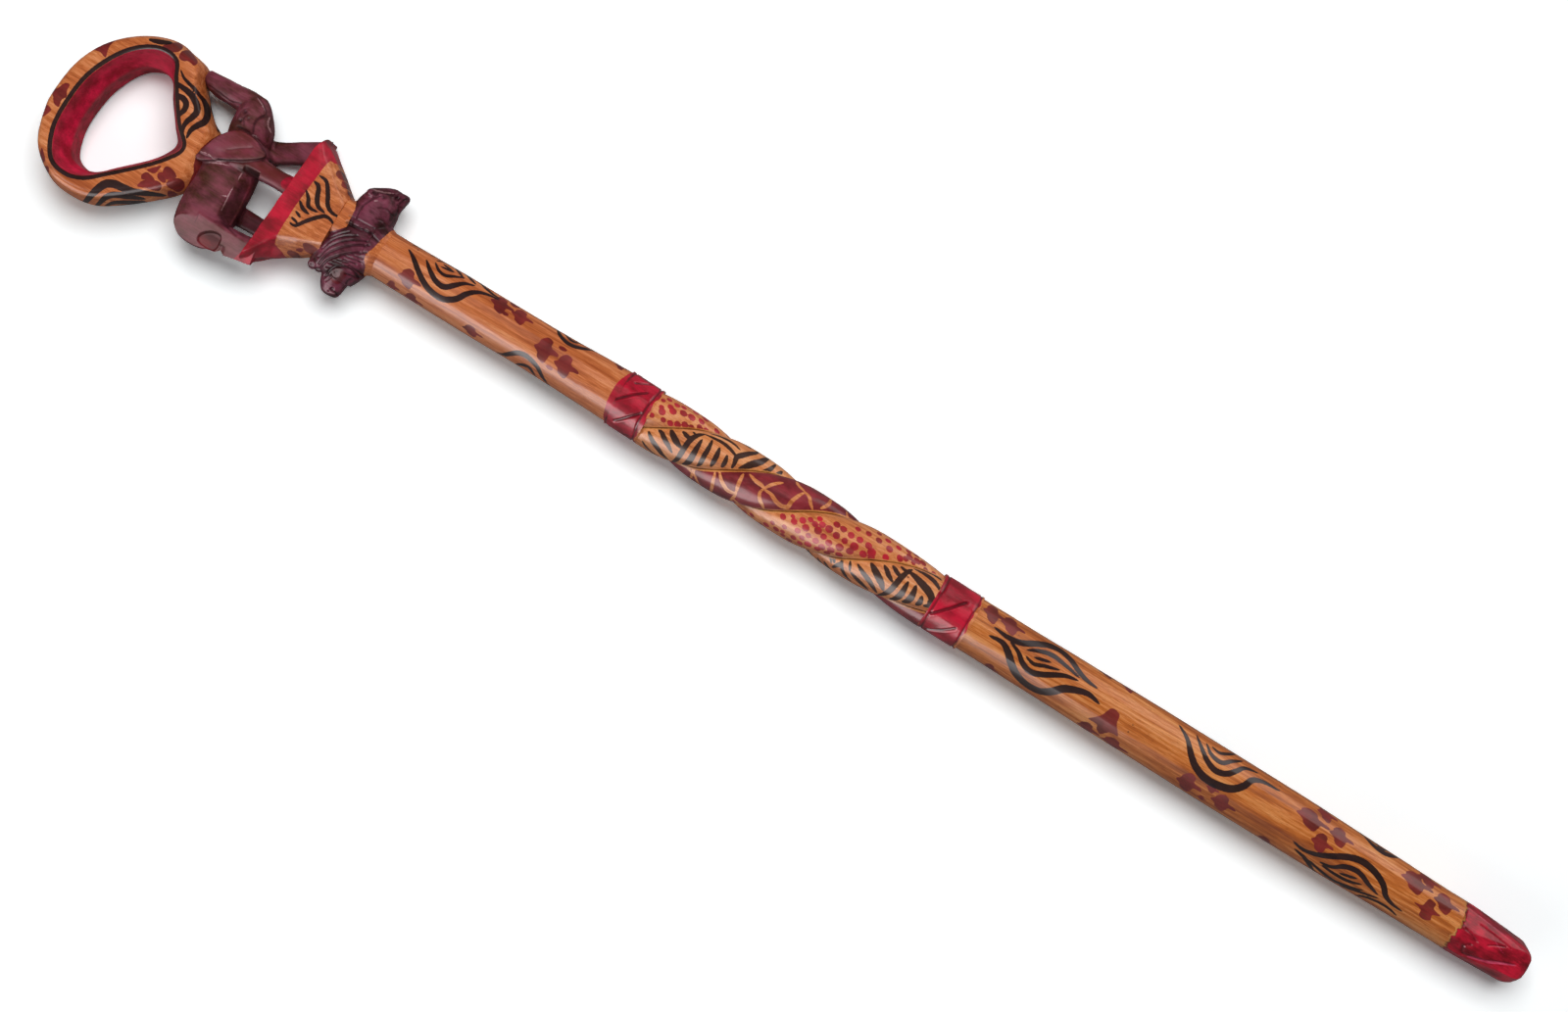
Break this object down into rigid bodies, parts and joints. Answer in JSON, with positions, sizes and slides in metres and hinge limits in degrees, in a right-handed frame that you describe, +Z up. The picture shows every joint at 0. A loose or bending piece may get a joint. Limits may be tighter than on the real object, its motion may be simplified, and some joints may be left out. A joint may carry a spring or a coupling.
{
  "type": "carved walking cane",
  "caption": "Carved wooden walking cane with a looped grip on an elephant, a plinth on a pair of feline heads, a twisted shaft between bands and a hewn tip.",
  "frame": {"origin": "centre of the bounding box at the level of the surface that the cane lies on", "axes": "+X along the cane from the grip to the tip, +Y to the side that the elephant faces, +Z up from the surface, through the grip's opening"},
  "size_m": [0.919, 0.101, 0.033],
  "materials": {
    "tan_wood": "clear gloss lacquer over bare wood, with painted strokes and blotches",
    "maroon_paint": "dark maroon stain under gloss lacquer",
    "crimson_paint": "crimson paint under gloss lacquer",
    "leopard_strand": "lacquered wood with crimson dots",
    "zebra_strand": "lacquered wood with near-black strokes",
    "giraffe_strand": "lacquered wood with maroon patches"
  },
  "bodies": {
    "root": {"elephant_body": "maroon_paint", "elephant_ear_far": "maroon_paint", "elephant_ear_near": "maroon_paint", "elephant_foreleg_far": "maroon_paint", "elephant_foreleg_near": "maroon_paint", "elephant_head": "maroon_paint", "elephant_hind_leg_far": "maroon_paint", "elephant_hind_leg_near": "maroon_paint", "elephant_trunk": "maroon_paint", "grip_loop": "tan_wood", "lion_head": "maroon_paint", "lioness_head": "maroon_paint", "lower_band": "crimson_paint", "lower_shaft": "tan_wood", "neck_collar": "maroon_paint", "plinth_body": "tan_wood", "plinth_top": "crimson_paint", "tip": "crimson_paint", "twist_giraffe_strand": "giraffe_strand", "twist_leopard_strand": "leopard_strand", "twist_zebra_strand": "zebra_strand", "upper_band": "crimson_paint", "upper_shaft": "tan_wood"}
  },
  "joints": []
}
